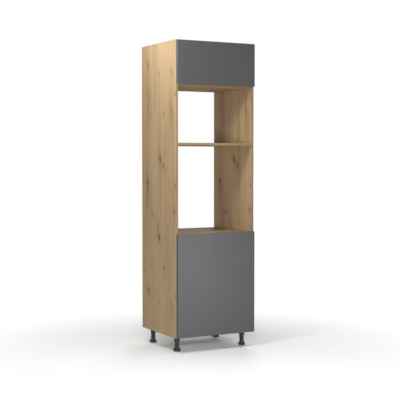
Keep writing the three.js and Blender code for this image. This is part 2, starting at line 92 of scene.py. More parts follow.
# Knots of the decor on the side panels: place across (Y) and up (Z), half width and half
# length, all in millimetres, how dark it is, and how far it leans across for each unit up.
# Long thin ones are cracks, wide pale ones clouds.
SIDE_KNOTS = (
    (171, 1959, 9, 20, 0.85, 0.1),
    (1, 1888, 6, 12, 0.3, 0.0),
    (-196, 1880, 9, 14, 0.6, 0.4),
    (-243, 1735, 7, 9, 0.8, 0.0),
    (-75, 1613, 6, 9, 0.8, 0.0),
    (-76, 1470, 2.2, 120, 0.6, 0.02),
    (142, 1606, 7, 32, 0.5, -0.1),
    (-185, 1630, 15, 65, 0.4, 0.1),
    (160, 1740, 18, 55, 0.25, 0.0),
    (-18, 1300, 12, 26, 1.0, 0.25),
    (-65, 1255, 10, 16, 1.0, 0.35),
    (191, 1143, 13, 24, 1.0, -0.12),
    (176, 1085, 9, 24, 0.6, -0.15),
    (186, 1085, 15, 85, 0.42, 0.05),
    (-248, 1124, 7, 9, 0.8, 0.0),
    (-232, 949, 9, 15, 0.95, 0.1),
    (111, 924, 9, 10, 0.7, 0.3),
    (2, 766, 15, 28, 1.0, 0.25),
    (20, 815, 13, 40, 0.36, 0.2),
    (128, 564, 6, 10, 0.5, 0.0),
    (-73, 560, 8, 14, 0.7, 0.4),
    (-65, 493, 6, 24, 0.4, 0.0),
    (175, 373, 10, 18, 0.7, 0.2),
    (-246, 384, 6, 9, 0.6, 0.0),
    (-1, 314, 6, 9, 0.4, 0.0),
    (-195, 296, 9, 24, 0.55, 0.2),
)
# Knots of a level board: place across and along, half width, length in widths, darkness, lean.
LEVEL_KNOT_RANGES = ((-250, 250), (-270, 270), (3, 8), (2, 4), (0.3, 1.0), (-0.4, 0.4))
LEVEL_KNOT_COUNT, LEVEL_KNOT_SEED = 7, 41
# Where the decor of the first level board starts, and how much further that of the next does.
LEVEL_SHIFT_START, LEVEL_SHIFT_STEP = (1.3, 0, 0), (0.7, 0.31, 0.2)

# Noises of the decor: repeats in a metre across, along and through the grain, then the detail,
# roughness and distortion.
OAK_NOISE = {
    "wobble": ((24, 11, 0), 2, 0.6, 0.0),
    "clouds": ((9, 0.9, 3), 3, 0.5, 0.6),
    "streaks": ((38, 1.1, 18), 4, 0.62, 0.35),
    "sway": ((7, 1.3, 4), 2, 0.5, 0.0),
    "rings": ((210, 1, 60), 3, 0.7, 0.0),
    "fibres": ((900, 9, 500), 3, 0.6, 0.0),
    "pores": ((1500, 26, 900), 1, 0.5, 0.0),
    "ragged": ((160, 22, 60), 3, 0.6, 0.0),
}
# What each pattern adds to the tone, and the sums that make the darkest and the palest tone.
OAK_WEIGHTS = {"clouds": 0.55, "streaks": 0.85, "rings": 0.42, "fibres": 0.30, "staves": 0.10}
OAK_TONE_RANGE = (0.30, 1.12)
# How far the growth rings sway, and where the staves start and how wide they are.
RING_SWAY = 0.055
STAVE_START, STAVE_WIDTH = 0.311, 0.118
# How far the knots' outlines wobble and push the grain aside, in metres, how many times wider
# their halos are in q, the q of a place with no knot, and how strongly halo, knot and pores
# tint the board.
KNOT_WOBBLE, KNOT_PUSH = 0.026, 0.009
HALO_SPREAD, NO_KNOT = 7, 60.0
HALO_TINT, KNOT_TINT, PORE_TINT = 0.70, 0.88, 0.42
HALO_WARMTH = (0.7, 0.63, 0.45)

# The other colours: backing paper, a painted highlight on the lacquer's arris, and the bumpers.
PAPER_DARK, PAPER_LIGHT = (0.36, 0.36, 0.355), (0.44, 0.44, 0.435)
ARRIS_RADIUS, ARRIS_HIGHLIGHT_GREY = 1.2 * MM, (0.42, 0.42, 0.43)
BUMPER_CLEAR, BUMPER_MILKY = (0.52, 0.53, 0.53), (0.68, 0.69, 0.69)
# The edge bands: name, axis of the grain, knots, shift of the decor, and shade: a darker tone that is
# partly the band's own and partly painted shade.
EDGE_BANDS = (
    ("upright", "Z", SIDE_KNOTS[3:4], (0.4, 0, 0), 0.68),
    ("level", "X", (), (0.9, 0.2, 0), 0.66),
    # This band, on the niche top panel under the flap, is darker still: a painted shadow of the flap.
    ("painted_flap_shadow", "X", (), (0.9, 0.2, 0), 0.5),
)


# ---- sizes and colours


def colour_setting(name, description, default):
    """A colour in a settings group."""
    return FloatVectorProperty(name=name, description=description, subtype="COLOR", default=default)


def length_setting(name, description, default):
    """A length in a settings group, in metres."""
    return FloatProperty(
        name=name, description=description, subtype="DISTANCE", unit="LENGTH", default=default
    )


def angle_setting(name, description, degrees):
    """An angle in a settings group, given in degrees."""
    return FloatProperty(
        name=name, description=description, subtype="ANGLE", default=math.radians(degrees)
    )


class BoardFinishes(bpy.types.PropertyGroup):
    """Colours of the boards."""

    oak: colour_setting("Oak", "Middle tone of the oak decor", (0.328, 0.229, 0.124))
    oak_light: colour_setting("Oak, light streaks", "Tone of the palest streaks", (0.393, 0.284, 0.164))
    oak_dark: colour_setting(
        "Oak, dark streaks", "Tone of the late wood and the pores", (0.223, 0.143, 0.071)
    )
    knot: colour_setting("Knots", "Tone in the middle of a knot", (0.078, 0.034, 0.006))
    chipboard: colour_setting(
        "Chipboard", "Tone of the raw board at its back, top and bottom edges", (0.37, 0.265, 0.165)
    )
    graphite: colour_setting("Graphite", "Lacquer of the door and the flap", (0.0358, 0.0358, 0.0361))
    hardboard: colour_setting("Hardboard", "Raw rear face of the back panels", (0.22, 0.13, 0.07))
    band_thickness: length_setting(
        "Edge band", "How far the edge band stands in front of the raw edge", 0.7 * MM
    )


class FittingSizes(bpy.types.PropertyGroup):
    """Sizes of the small fittings."""

    screw_radius: length_setting(
        "Screw head", "Radius of the screw heads in the hinge plates, cups and sockets", 3.4 * MM
    )
    screw_height: length_setting("Screw crown", "How far a screw head stands out", 1.3 * MM)
    cap_radius: length_setting("Cover cap", "Radius of the caps over the connectors", 8.5 * MM)
    cap_height: length_setting("Cap crown", "How far a cover cap stands out", 0.9 * MM)
    cap_inset: length_setting("Cap inset", "From the end of a panel to the middle of a cap", 34 * MM)
    bumper_radius: length_setting("Bumper", "Radius of the soft bumpers behind the fronts", 4 * MM)
    bumper_height: length_setting("Bumper height", "Thickness of the soft bumpers", 1.6 * MM)


class LegSizes(bpy.types.PropertyGroup):
    """Moulded details of the adjustable legs."""

    rib_count: IntProperty(
        name="Ribs", description="Ribs round a leg column", default=12, min=3
    )
    rib_depth: length_setting("Rib depth", "Depth of the flutes between the ribs", 0.8 * MM)
    grip_count: IntProperty(
        name="Grips", description="Notches round a foot", default=20, min=3
    )
    grip_depth: length_setting("Grip depth", "Depth of a notch round a foot", 0.9 * MM)
    gusset_count: IntProperty(
        name="Gussets", description="Webs between a socket and its plate", default=8, min=3
    )
    plastic: colour_setting("Leg plastic", "Colour of the moulded legs", (0.016, 0.0165, 0.017))


class StageSettings(bpy.types.PropertyGroup):
    """Camera, lamps and floor."""

    camera_place: FloatVectorProperty(
        name="Camera",
        description="Where the camera stands",
        subtype="TRANSLATION",
        unit="LENGTH",
        default=(-3.27055, -6.18085, 1.29003),
    )
    camera_pitch: angle_setting("Camera pitch", "How far the camera looks down", 2.2451)
    camera_yaw: angle_setting(
        "Camera yaw", "How far the camera is turned to the right of the depth axis", 28.0145
    )
    camera_roll: angle_setting("Camera roll", "Tilt of the horizon", -0.0243)
    camera_lens: FloatProperty(
        name="Lens",
        description="Focal length on a 36 mm square sensor, in millimetres",
        default=89.617,
    )
    floor: colour_setting("Floor", "Colour of the studio floor", (0.915, 0.915, 0.915))
    ambient: FloatProperty(
        name="Ambient", description="Strength of the light from all round", default=0.01
    )


# ---- surfaces


def ring_faces(rings, points):
    """Faces between neighbouring rings; the last point of a ring meets its first."""
    row = points * np.arange(rings - 1)[:, None]
    column = np.arange(points)
    after = (column + 1) % points
    corners = (row + column, row + after, row + points + after, row + points + column)
    return np.stack(corners, axis=-1).reshape(-1, 4)


def round_angles(points):
    """Evenly spaced angles round a full turn."""
    return np.arange(points) * 2 * math.pi / points


def open_ring(rings):
    """A stack of rings whose last ring is its first again: a hoop with no ends to close."""
    rows, points, _ = rings.shape
    vertices = rings[:-1].reshape(-1, 3)
    return vertices, (ring_faces(rows, points) % len(vertices)).tolist()


def shell(rings):
    """Closes a stack of rings (rings, points, 3) with a point at the middle of each end.

    The rings run anticlockwise as seen from the side that the stack grows towards.
    """
    count, points, _ = rings.shape
    start, end = rings[0].mean(axis=0), rings[-1].mean(axis=0)
    vertices = np.concatenate([rings.reshape(-1, 3), [start, end]])
    first = np.arange(points)
    after = (first + 1) % points
    last = (count - 1) * points
    low = np.stack([np.full(points, count * points), after, first], axis=-1)
    high = np.stack([np.full(points, count * points + 1), last + first, last + after], axis=-1)
    faces = ring_faces(count, points).tolist() + low.tolist() + high.tolist()
    return vertices, faces


def joined(parts):
    """Several closed shells as the vertices and faces of one mesh."""
    vertices, faces, offset = [], [], 0
    for part_vertices, part_faces in parts:
        vertices.append(part_vertices)
        faces += [[index + offset for index in face] for face in part_faces]
        offset += len(part_vertices)
    return np.concatenate(vertices), faces


def placed(part, place, normal=(0, 0, 1)):
    """A shell with its own Z axis turned onto a normal and its origin at a place."""
    vertices, faces = part
    turn = Vector((0, 0, 1)).rotation_difference(Vector(normal)).to_matrix()
    return vertices @ np.array(turn).T + np.array(place), faces


def linked(name, data):
    """A new object of the scene, made from a mesh, a lamp or a camera."""
    made = bpy.data.objects.new(name, data)
    bpy.context.scene.collection.objects.link(made)
    return made


def new_mesh(name, part, material):
    """A mesh made from a shell, with its material."""
    vertices, faces = part
    mesh = bpy.data.meshes.new(name)
    mesh.from_pydata(vertices.tolist(), [], faces)
    mesh.materials.append(material)
    return mesh


def add_piece(name, part, material, body):
    """Makes an object from a shell, smooth up to an angle, and lets it ride on a body."""
    mesh = new_mesh(name, part, material)
    mesh.polygons.foreach_set("use_smooth", np.ones(len(mesh.polygons), bool))
    mesh.set_sharp_from_angle(angle=SHARP_ANGLE)
    mesh.update()
    piece = linked(name, mesh)
    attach(piece, body)
    return piece


def turned_rings(profile, points, swell=0.0):
    """A profile of (radius, height) carried round the Z axis.

    The place at profile row i and angle t is (r cos t, r sin t, h), with r, h = profile[i]
    and swell[i, t] added to the radius.
    """
    profile = np.asarray(profile, float)
    angle = round_angles(points)
    radius = np.repeat(profile[:, :1], points, axis=1) + swell
    height = np.repeat(profile[:, 1:2], points, axis=1)
    return np.stack([radius * np.cos(angle), radius * np.sin(angle), height], axis=-1)


def quarter_round(radius, height, roll, steps):
    """Profile points that roll a side of this radius over into a top at this height."""
    arc = np.linspace(0, math.pi / 2, steps)
    return [(radius - roll + roll * math.cos(a), height - roll + roll * math.sin(a)) for a in arc]


def screw_head(radius, height, points=32):
    """A domed head with a cross recess.

    Height over the seat is h (1 - 0.55 (r/R)^2), less a recess of 1.25 h near two crossed
    lines, which fades out at 0.2 R from them and at 0.66 R from the middle.
    """
    crown_fall, recess_depth, sunk, rim_height = 0.55, 1.25 * height, 0.2 * MM, 0.25 * height
    recess_reach, reach_fade, arm_half_width, arm_fade = 0.66, 0.10, 0.20, 0.07
    share = np.array([1.0, 0.97, 0.86, 0.72, 0.60, 0.48, 0.36, 0.24, 0.12, 0.03])[:, None]
    angle = round_angles(points)[None, :]
    r = share * radius
    x, y = r * np.cos(angle), r * np.sin(angle)
    to_line = np.minimum(np.abs(x), np.abs(y)) / radius
    near_middle = np.clip((recess_reach - share) / reach_fade, 0, 1)
    inside = near_middle * np.clip((arm_half_width - to_line) / arm_fade, 0, 1)
    top = np.stack([x, y, height * (1 - crown_fall * share**2) - recess_depth * inside], axis=-1)
    seat = np.stack([x[0], y[0], np.full(points, -sunk)], axis=-1)
    rim = np.stack([x[0], y[0], np.full(points, rim_height)], axis=-1)
    under = seat * np.array([0.5, 0.5, 1.0])
    return shell(np.concatenate([[under, seat, rim], top]))


def button(radius, height, dish=0.0, points=32):
    """A flat round button with a rolled rim; a dish lowers its middle."""
    roll, sunk = min(height, 0.25 * radius), 0.05 * MM
    profile = [(0.6 * radius, -sunk), (radius, -sunk)]
    profile += quarter_round(radius, height, roll, 5)
    profile += [(0.5 * radius, height - 0.6 * dish), (0.2 * radius, height - dish)]
    return shell(turned_rings(profile, points))


def bar_along(start, end, width_axis, width, depth_axis, depth, radius):
    """A straight band: a D-shaped outline carried from one point to another.

    The outline runs along width_axis and stands out along depth_axis, with its two outer
    corners rounded by a quarter circle.
    """
    arc = np.linspace(0, math.pi / 2, 5)
    sine, cosine = radius * np.sin(arc), radius * np.cos(arc)
    side, face = width / 2 - radius, depth - radius
    across = np.concatenate([[-width / 2], -side - cosine, side + sine, [width / 2]])
    out = np.concatenate([[0], face + sine, face + cosine, [0]])
    outline = across[:, None] * np.array(width_axis) + out[:, None] * np.array(depth_axis)
    rings = np.stack([start, end])[:, None, :] + outline[None, :, :]
    along = np.array(end, float) - np.array(start, float)
    turn = np.cross(outline[1] - outline[0], outline[-1] - outline[0])
    if np.dot(turn, along) < 0:
        rings = rings[:, ::-1]
    return shell(rings)


# ---- material nodes


def add_node(tree, kind, inputs=None, **settings):
    """Adds a shader node; an input is a value or another node's output."""
    made = tree.nodes.new("ShaderNode" + kind)
    for key, value in settings.items():
        setattr(made, key, value)
    for key, value in (inputs or {}).items():
        if isinstance(value, bpy.types.NodeSocket):
            tree.links.new(value, made.inputs[key])
        else:
            made.inputs[key].default_value = value
    return made


def calc(tree, operation, *values, clamp=False):
    """One sum on numbers."""
    inputs = dict(enumerate(values))
    return add_node(tree, "Math", inputs, operation=operation, use_clamp=clamp).outputs[0]


def on_vectors(tree, operation, *values):
    """One sum on vectors; its outputs are a vector and, for some sums, a value."""
    return add_node(tree, "VectorMath", dict(enumerate(values)), operation=operation).outputs


def stretched(tree, vector, scale, shift=(0, 0, 0)):
    """A vector times a scale, plus a shift."""
    return on_vectors(tree, "MULTIPLY_ADD", vector, scale, shift)[0]


def noise(tree, vector, scale, detail=2.0, roughness=0.5, distortion=0.0):
    """Smooth random values between 0 and 1."""
    names = ("Vector", "Scale", "Detail", "Roughness", "Distortion")
    inputs = dict(zip(names, (vector, scale, detail, roughness, distortion)))
    return add_node(tree, "TexNoise", inputs).outputs["Fac"]


def spread(tree, value, low, high, to_low=0.0, to_high=1.0):
    """Stretches a value from one range to another and keeps it inside."""
    names = ("Value", "From Min", "From Max", "To Min", "To Max")
    inputs = dict(zip(names, (value, low, high, to_low, to_high)))
    return add_node(tree, "MapRange", inputs, clamp=True).outputs[0]


def blend_colour(tree, factor, first, second, mode="MIX"):
    """Two colours mixed by a factor."""
    settings = {"data_type": "RGBA", "blend_type": mode, "clamp_factor": True}
    inputs = {0: factor, 6: opaque(first), 7: opaque(second)}
    return add_node(tree, "Mix", inputs, **settings).outputs[2]


def toned(colour, factor, lift=0.0):
    """A plain colour times a factor, plus a lift, kept at 1 or under."""
    return tuple(min(1.0, factor * part + lift) for part in colour)


def two_tone(tree, value, low, high, colour, darker, paler, lift=0.0):
    """A colour that goes from a darker to a paler tone as a value goes from low to high."""
    share = spread(tree, value, low, high)
    return blend_colour(tree, share, toned(colour, darker), toned(colour, paler, lift))


def weighted(tree, first, second, share):
    """Two values added: the first with a share, the second with the rest."""
    return calc(tree, "MULTIPLY_ADD", first, share, calc(tree, "MULTIPLY", second, 1 - share))


def cell_tone(tree, place, scale):
    """A random value for each cell of a cell pattern."""
    cells = add_node(tree, "TexVoronoi", {"Vector": place, "Scale": scale})
    return parts_of(tree, cells.outputs["Color"])[0]


def face_normal(tree):
    """The three numbers of the face's direction, in the piece's own axes."""
    return parts_of(tree, add_node(tree, "TexCoord").outputs["Normal"])


def vector_of(tree, *values):
    """A vector made of up to three numbers; None leaves a 0."""
    inputs = {place: value for place, value in enumerate(values) if value is not None}
    return add_node(tree, "CombineXYZ", inputs).outputs[0]


def opaque(colour):
    """A colour property as four numbers; a node's output as it is."""
    if isinstance(colour, bpy.types.NodeSocket):
        return colour
    return (*tuple(colour)[:3], 1.0)


def object_place(tree):
    """Object coordinates, in metres."""
    return add_node(tree, "TexCoord").outputs["Object"]


def parts_of(tree, vector):
    """The three numbers of a vector."""
    return add_node(tree, "SeparateXYZ", {0: vector}).outputs


def start_material(name, roughness=0.5, metallic=0.0, specular=0.5):
    """A material with a plain Principled shader, and its tree."""
    material = bpy.data.materials.new(name)
    material.use_nodes = True
    tree = material.node_tree
    shader = tree.nodes["Principled BSDF"]
    shader.inputs["Roughness"].default_value = roughness
    shader.inputs["Metallic"].default_value = metallic
    shader.inputs["Specular IOR Level"].default_value = specular
    return material, tree


def wire_surface(tree, colour, roughness, height=None, distance=0.0001, strength=1.0):
    """Joins colour, roughness and, where there is one, a bump height to the shader."""
    surface = tree.nodes["Principled BSDF"].inputs
    tree.links.new(colour, surface["Base Color"])
    tree.links.new(roughness, surface["Roughness"])
    if height is not None:
        inputs = {"Height": height, "Distance": distance, "Strength": strength}
        bump = add_node(tree, "Bump", inputs)
        tree.links.new(bump.outputs[0], surface["Normal"])


def mix_surface(tree, share, first, second, output):
    """Joins two shaders, mixed by a share, to the output."""
    inputs = {0: share, 1: first.outputs[0], 2: second.outputs[0]}
    both = add_node(tree, "MixShader", inputs)
    tree.links.new(both.outputs[0], output.inputs["Surface"])


# ---- oak decor


def nearest_knot(tree, place, knots):
    """How far a place is from the nearest knot, as q less the logarithm of its darkness.

    With u the distance across from the knot's leaning middle line and v the distance up from
    its middle, q = (u / a)^2 + (v / b)^2. The knot is e^-q dark, so the least of q - ln k over
    all the knots gives the darkest of them.
    """
    nearest = NO_KNOT
    for across, up, width, length, darkness, lean in knots:
        sharp = (1 / (width * MM), 1 / (length * MM), 0)
        shift = (-across / width, -up / length, 0)
        away = stretched(tree, place, sharp, shift)
        upright = (1, -lean * length / width, 0)
        u = on_vectors(tree, "DOT_PRODUCT", away, upright)["Value"]
        v = on_vectors(tree, "DOT_PRODUCT", away, (0, 1, 0))["Value"]
        q = calc(tree, "MULTIPLY_ADD", u, u, calc(tree, "MULTIPLY", v, v))
        q = calc(tree, "SUBTRACT", q, math.log(darkness))
        nearest = calc(tree, "MINIMUM", q, nearest)
    return nearest


def decor_place(tree, along):
    """Object coordinates as (across, along, through) for a board whose grain runs along an axis."""
    x, y, z = parts_of(tree, object_place(tree))
    return vector_of(tree, y, z, x) if along == "Z" else vector_of(tree, y, x, z)


def grain_noise(tree, place, name):
    """One of the decor's noises at a place (across, along, through)."""
    scale, detail, roughness, distortion = OAK_NOISE[name]
    return noise(tree, stretched(tree, place, scale), 1.0, detail, roughness, distortion)


def bent_grain(tree, place, knots, shift):
    """The least q of the knots, and the grain's place where it flows round them."""
    wobble = grain_noise(tree, place, "wobble")
    sideways = calc(tree, "MULTIPLY_ADD", wobble, KNOT_WOBBLE, -KNOT_WOBBLE / 2)
    bent = on_vectors(tree, "ADD", place, vector_of(tree, sideways))[0]
    nearest = nearest_knot(tree, bent, knots)
    halo = calc(tree, "POWER", math.exp(-1 / HALO_SPREAD), nearest)
    across, up, through = parts_of(tree, place)
    flow = calc(tree, "MULTIPLY_ADD", halo, KNOT_PUSH, across)
    grain = stretched(tree, vector_of(tree, flow, up, through), (1, 1, 1), shift)
    return nearest, halo, across, grain


def oak_tone(tree, across, grain, fibres):
    """How pale the oak is: clouds, streaks, growth rings, fibres and the tone of each stave."""
    clouds = grain_noise(tree, grain, "clouds")
    streaks = grain_noise(tree, grain, "streaks")
    sway = grain_noise(tree, grain, "sway")
    line, _, through = parts_of(tree, grain)
    ring_place = vector_of(tree, calc(tree, "MULTIPLY_ADD", sway, RING_SWAY, line), None, through)
    rings = grain_noise(tree, ring_place, "rings")
    stave = calc(tree, "DIVIDE", calc(tree, "ADD", across, STAVE_START), STAVE_WIDTH)
    stave = calc(tree, "FLOOR", stave)
    stave = add_node(tree, "TexWhiteNoise", {"W": stave}, noise_dimensions="1D").outputs["Value"]
    tone = calc(tree, "MULTIPLY", clouds, OAK_WEIGHTS["clouds"])
    tone = calc(tree, "MULTIPLY_ADD", streaks, OAK_WEIGHTS["streaks"], tone)
    for name, value in (("rings", rings), ("fibres", fibres), ("staves", stave)):
        weight = OAK_WEIGHTS[name]
        tone = calc(tree, "ADD", tone, calc(tree, "MULTIPLY_ADD", value, weight, -weight / 2))
    return spread(tree, tone, *OAK_TONE_RANGE)


def oak_decor(tree, along, knots, shift):
    """Colour, roughness and height of the oak decor."""
    finish = bpy.context.scene.board_finishes
    nearest, halo, across, grain = bent_grain(tree, decor_place(tree, along), knots, shift)
    core = calc(tree, "POWER", math.exp(-1), nearest)
    fibres = grain_noise(tree, grain, "fibres")
    pore = spread(tree, grain_noise(tree, grain, "pores"), 0.62, 0.70)
    tone = oak_tone(tree, across, grain, fibres)
    low = blend_colour(tree, spread(tree, tone, 0.0, 0.5), finish.oak_dark, finish.oak)
    colour = blend_colour(tree, spread(tree, tone, 0.42, 1.0), low, finish.oak_light)
    colour = blend_colour(tree, calc(tree, "MULTIPLY", pore, PORE_TINT), colour, finish.oak_dark)
    ragged = grain_noise(tree, grain, "ragged")
    halo = calc(tree, "MULTIPLY", halo, spread(tree, ragged, 0.2, 0.8, 0.35, 0.85))
    halo = calc(tree, "MULTIPLY", halo, HALO_TINT, clamp=True)
    brown = tuple(share * part for share, part in zip(HALO_WARMTH, finish.oak_dark))
    colour = blend_colour(tree, halo, colour, brown)
    edge = spread(tree, calc(tree, "MULTIPLY_ADD", ragged, 0.25, core), 0.28, 0.92)
    colour = blend_colour(tree, calc(tree, "MULTIPLY", edge, KNOT_TINT), colour, finish.knot)

    dull = calc(tree, "MULTIPLY", pore, 0.12)
    roughness = calc(tree, "ADD", spread(tree, fibres, 0.3, 0.7, 0.62, 0.72), dull)
    pits = calc(tree, "MULTIPLY", pore, 0.8)
    height = calc(tree, "SUBTRACT", calc(tree, "MULTIPLY", fibres, 0.5), pits)
    height = calc(tree, "SUBTRACT", height, calc(tree, "MULTIPLY", edge, 0.6))
    return colour, roughness, height


def raw_board(tree):
    """Colour and height of pressed chips, for the edges that carry no band."""
    chipboard = bpy.context.scene.board_finishes.chipboard
    place = object_place(tree)
    dust = noise(tree, place, 900.0, 3, 0.7)
    value = weighted(tree, dust, cell_tone(tree, place, 420.0), 0.5)
    return two_tone(tree, value, 0.25, 0.75, chipboard, 0.55, 1.25), value


def oak_material(name, along, knots, shift, raw_edges=True, shade=1.0, specular=0.008, backed=False):
    """Oak decor on a board's faces and front edge, and raw chipboard on its other edges."""
    material, tree = start_material(name, specular=specular)
    colour, roughness, height = oak_decor(tree, along, knots, shift)
    # A shade under 1 darkens the whole decor: on the edge bands this is partly their own darker tone
    # and partly painted shade.
    colour = blend_colour(tree, 1.0, colour, (shade, shade, shade), "MULTIPLY")
    if raw_edges:
        x, y, z = face_normal(tree)
        side = z if along == "Z" else x
        ends = calc(tree, "GREATER_THAN", calc(tree, "ABSOLUTE", side), 0.5)
        back = calc(tree, "GREATER_THAN", y, 0.5)
        raw = calc(tree, "MAXIMUM", ends, back)
        chips, chip_height = raw_board(tree)
        colour = blend_colour(tree, raw, colour, chips)
        roughness = calc(tree, "MAXIMUM", roughness, calc(tree, "MULTIPLY", raw, 0.9))
        rough_edge = calc(tree, "MULTIPLY", chip_height, calc(tree, "MULTIPLY", raw, 3.0))
        height = calc(tree, "ADD", height, rough_edge)
        if backed:
            under = calc(tree, "LESS_THAN", z, -0.5)
            paper = noise(tree, object_place(tree), 700.0, 3, 0.7)
            paper = blend_colour(tree, paper, PAPER_DARK, PAPER_LIGHT)
            colour = blend_colour(tree, under, colour, paper)
    wire_surface(tree, colour, roughness, height, distance=0.00012, strength=0.7)
    return material


def level_knots(number):
    """Knots of a level board, drawn from a fixed seed: place, size, darkness and lean."""
    draw = np.random.default_rng(LEVEL_KNOT_SEED + number)
    drawn = [draw.uniform(low, high, LEVEL_KNOT_COUNT) for low, high in LEVEL_KNOT_RANGES]
    across, along, width, stretch, darkness, lean = drawn
    return np.stack([across, along, width, width * stretch, darkness, lean], axis=-1).tolist()


# ---- other materials


def graphite_material():
    """Smooth matt lacquer: a fine mottle, soft roller waviness and a painted highlight, paler grey on
    the edges.
    """
    finish = bpy.context.scene.board_finishes
    material, tree = start_material("Graphite lacquer", 0.42, specular=0.5)
    place = object_place(tree)
    mottle = noise(tree, place, 5.0, 3, 0.6)
    grit = noise(tree, place, 2600.0, 2, 0.6)
    value = weighted(tree, grit, mottle, 0.3)
    colour = two_tone(tree, value, 0.3, 0.7, finish.graphite, 0.955, 1.045)
    bevel = add_node(tree, "Bevel", {"Radius": ARRIS_RADIUS}, samples=4).outputs[0]
    normal = add_node(tree, "NewGeometry").outputs["Normal"]
    bent = on_vectors(tree, "DOT_PRODUCT", bevel, normal)["Value"]
    arris_highlight = spread(tree, bent, 0.995, 0.90)
    # Painted highlight: the rounded arris is drawn in a paler grey, whatever the light.
    colour = blend_colour(tree, calc(tree, "MULTIPLY", arris_highlight, 0.16), colour, ARRIS_HIGHLIGHT_GREY)
    smears = noise(tree, stretched(tree, place, (3, 3, 1.4)), 1.0, 4, 0.6)
    roughness = spread(tree, calc(tree, "MULTIPLY_ADD", grit, 0.25, smears), 0.3, 0.95, 0.38, 0.46)
    edge = calc(tree, "LESS_THAN", calc(tree, "ABSOLUTE", face_normal(tree)[1]), 0.5)
    roughness = calc(tree, "MULTIPLY_ADD", edge, 0.4, roughness)
    peel = noise(tree, place, 420.0, 2, 0.5)
    wire_surface(tree, colour, roughness, peel, distance=0.00006, strength=0.35)
    return material


def hardboard_material():
    """Thin back panel: oak print on the face towards the front, raw brown fibres behind."""
    finish = bpy.context.scene.board_finishes
    material, tree = start_material("Hardboard", 0.8, specular=0.3)
    print_colour, _, print_height = oak_decor(tree, "Z", level_knots(9), (3.1, 0.4, 0.0))
    place = object_place(tree)
    fuzz = noise(tree, place, 1400.0, 4, 0.7, 0.4)
    fleck = noise(tree, place, 260.0, 3, 0.75)
    value = weighted(tree, fleck, fuzz, 0.5)
    raw_colour = two_tone(tree, value, 0.3, 0.7, finish.hardboard, 0.7, 1.35)
    front = calc(tree, "LESS_THAN", face_normal(tree)[1], -0.5)
    colour = blend_colour(tree, front, raw_colour, print_colour)
    roughness = spread(tree, front, 0.0, 1.0, 0.86, 0.5)
    height = calc(tree, "ADD", calc(tree, "MULTIPLY", fuzz, 1.2), print_height)
    wire_surface(tree, colour, roughness, height, distance=0.0001, strength=0.6)
    return material


def plastic_material(name, colour, roughness, specular=0.45):
    """Moulded plastic with a fine spark-eroded texture, paler scuffs and uneven gloss."""
    material, tree = start_material(name, roughness, specular=specular)
    place = object_place(tree)
    texture = noise(tree, place, 1300.0, 2, 0.6)
    flow = noise(tree, place, 60.0, 3, 0.6, 0.5)
    marks = noise(tree, stretched(tree, place, (260, 260, 90)), 1.0, 3, 0.7)
    scuffs = calc(tree, "MULTIPLY", spread(tree, marks, 0.6, 0.8), 0.3)
    shade = two_tone(tree, flow, 0.3, 0.7, colour, 0.85, 1.25, 0.012)
    shade = blend_colour(tree, scuffs, shade, toned(colour, 1.5, 0.05))
    gloss = calc(tree, "MULTIPLY_ADD", texture, 0.4, flow)
    gloss = spread(tree, gloss, 0.3, 1.1, roughness - 0.07, roughness + 0.1)
    wire_surface(tree, shade, gloss, texture, distance=0.00008, strength=0.45)
    return material


def metal_material(name, colour, roughness, brush, spangle):
    """Plated steel: brush lines along one axis, soft clouds and fine pits."""
    material, tree = start_material(name, roughness, metallic=1.0)
    place = object_place(tree)
    lines = noise(tree, stretched(tree, place, brush), 1.0, 3, 0.6)
    clouds = noise(tree, place, 90.0, 3, 0.6)
    value = weighted(tree, cell_tone(tree, place, 380.0), clouds, spangle)
    shade = two_tone(tree, value, 0.25, 0.75, colour, 0.78, 1.1)
    gloss = calc(tree, "MULTIPLY_ADD", lines, 0.6, value)
    gloss = spread(tree, gloss, 0.4, 1.3, roughness - 0.08, roughness + 0.14)
    wire_surface(tree, shade, gloss, lines, distance=0.00005, strength=0.4)
    return material


def bumper_material():
    """Clear soft bumpers, milky where they are thick."""
    material, tree = start_material("Bumper", 0.28, specular=0.5)
    cloud = noise(tree, object_place(tree), 700.0, 2)
    colour = blend_colour(tree, cloud, BUMPER_CLEAR, BUMPER_MILKY)
    wire_surface(tree, colour, spread(tree, cloud, 0.2, 0.8, 0.22, 0.36))
    return material


def paint(node, material):
    """Gives a CAD node's object a material in every slot."""
    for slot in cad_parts[node].material_slots:
        slot.material = material


def kept(name):
    """A fitting's material, made once and then found again by its name."""
    maker, *values = FITTING_MATERIALS[name]
    return bpy.data.materials.get(name) or maker(name, *values)


# Colour and roughness of the fittings. A metal also has its brush lines (repeats in a metre
# along each axis) and how much of its tone comes from its spangles.
FITTING_MATERIALS = {
    "Zinc": (metal_material, (0.56, 0.58, 0.60), 0.36, (500, 500, 40), 0.6),
    "Nickel": (metal_material, (0.70, 0.69, 0.66), 0.24, (900, 60, 900), 0.15),
    "Grey plastic": (plastic_material, (0.26, 0.27, 0.285), 0.45),
    "White plastic": (plastic_material, (0.74, 0.74, 0.72), 0.4),
    "Cap plastic": (plastic_material, (0.36, 0.26, 0.155), 0.45),
}


def span(node):
    """Lowest corner, highest corner and middle of a CAD node."""
    low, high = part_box(node)
    return low, high, (low + high) / 2


def screw(wider=1.0, taller=1.0):
    """A screw head of the set size, times two factors."""
    fittings = bpy.context.scene.fitting_sizes
    return screw_head(fittings.screw_radius * wider, fittings.screw_height * taller)


def add_copies(name, shape, places, normal, material, body):
    """One piece made of the same shell at several places, all turned to one normal."""
    copies = [placed(shape, place, normal) for place in places]
    add_piece(name, joined(copies), material, body)


def add_screws(name, head, places, normal, body="carcass"):
    """One piece made of the same screw head at several places."""
    add_copies(name, head, places, normal, kept("Zinc"), body)


# ---- operators


